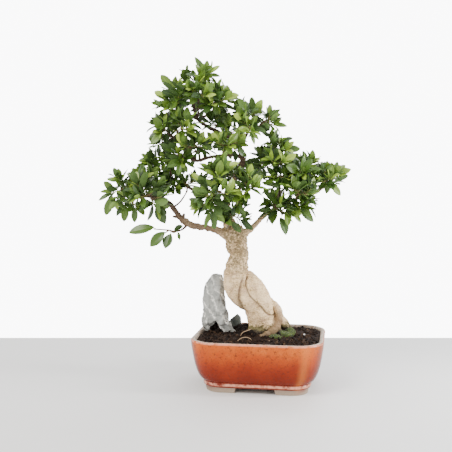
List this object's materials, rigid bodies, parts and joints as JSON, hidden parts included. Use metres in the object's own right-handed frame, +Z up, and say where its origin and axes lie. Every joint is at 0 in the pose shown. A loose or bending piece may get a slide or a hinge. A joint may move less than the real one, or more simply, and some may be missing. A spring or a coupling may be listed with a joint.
{
  "type": "chinese banyan bonsai",
  "caption": "Chinese banyan bonsai: swollen rooted trunk with bare limbs and leafy sprays, beside a standing stone in a glazed rectangular pot on corner feet.",
  "frame": {"origin": "under the middle of the whole object's box, on the surface that the pot's feet stand on", "axes": "+X along the pot's long side, towards the right as seen from the front, +Y from the front to the back, +Z up"},
  "size_m": [0.4652, 0.281, 0.625],
  "materials": {
    "glaze": "glossy, mottled orange to dark red stoneware glaze, worn pale grey at the lip, bare clay on the feet",
    "soil": "matte, damp crumbly dark brown potting mix",
    "bark": "matte smooth beige bark with wrinkles, creases and brown rough patches",
    "stone": "matte pale grey weathered rock with white streaks",
    "dark_stone": "matte dark grey-green rock",
    "perlite": "matte white expanded grain",
    "moss": "soft fuzzy green moss",
    "leaf": "leathery living leaves with a waxy gloss, dark green, bright yellow-green where young, on thin green stems"
  },
  "bodies": {
    "root": {"pot": "glaze", "soil": "soil", "tree": "bark", "standing_stone": "stone", "dark_stone": "dark_stone", "perlite_grain": "perlite", "moss": "moss", "spray_01": "leaf", "spray_02": "leaf", "spray_03": "leaf", "spray_04": "leaf", "spray_05": "leaf", "spray_06": "leaf", "spray_07": "leaf", "spray_08": "leaf", "spray_09": "leaf", "spray_10": "leaf", "spray_11": "leaf", "spray_12": "leaf", "spray_13": "leaf", "spray_14": "leaf", "spray_15": "leaf", "spray_16": "leaf", "spray_17": "leaf", "spray_18": "leaf", "spray_19": "leaf", "spray_20": "leaf", "spray_21": "leaf", "spray_22": "leaf", "spray_23": "leaf", "spray_24": "leaf", "spray_25": "leaf", "spray_26": "leaf", "spray_27": "leaf", "spray_28": "leaf", "spray_29": "leaf", "spray_30": "leaf", "spray_31": "leaf", "spray_32": "leaf", "spray_33": "leaf", "spray_34": "leaf", "spray_35": "leaf", "spray_36": "leaf", "spray_37": "leaf", "spray_38": "leaf", "spray_39": "leaf", "spray_40": "leaf", "spray_41": "leaf", "spray_42": "leaf", "spray_43": "leaf", "spray_44": "leaf", "spray_45": "leaf", "spray_46": "leaf", "spray_47": "leaf", "spray_48": "leaf", "spray_49": "leaf", "spray_50": "leaf", "spray_51": "leaf", "spray_52": "leaf", "spray_53": "leaf"}
  },
  "joints": []
}
